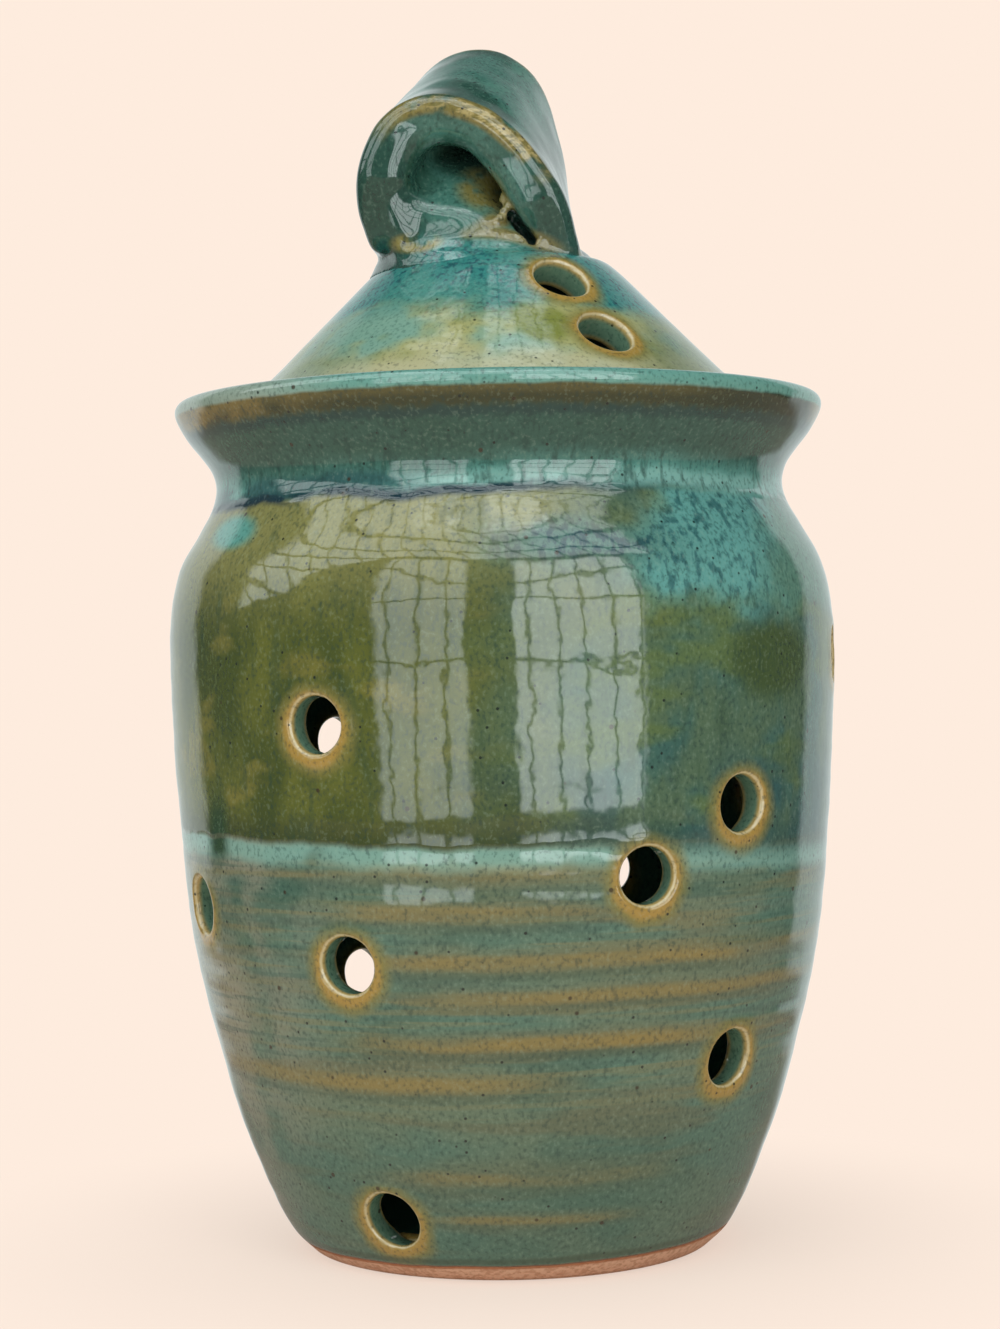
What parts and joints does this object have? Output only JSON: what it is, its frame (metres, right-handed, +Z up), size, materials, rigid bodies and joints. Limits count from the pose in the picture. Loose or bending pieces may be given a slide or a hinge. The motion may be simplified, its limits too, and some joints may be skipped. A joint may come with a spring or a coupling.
{
  "type": "garlic keeper",
  "caption": "Glazed stoneware garlic keeper: a vented jar with a flared rim and a cone lid that lifts off by a twisted strap handle.",
  "frame": {"origin": "centre of the flat base, on the surface that the jar stands on", "axes": "+Z up along the jar's axis, -Y towards the front, where the handle's recess and most of the front vents face, +X to the right"},
  "size_m": [0.1258, 0.1258, 0.2276],
  "materials": {
    "jar_glaze": "gloss",
    "lid_glaze": "gloss",
    "handle_glaze": "gloss"
  },
  "bodies": {
    "jar": {"jar": "jar_glaze"},
    "lid": {"lid": "lid_glaze", "lid_handle": "handle_glaze"}
  },
  "joints": [
    {"name": "lid_lift", "type": "slide", "parent": "jar", "child": "lid", "axis": [0, 0, 1], "range_m": [0, 0.12]}
  ]
}
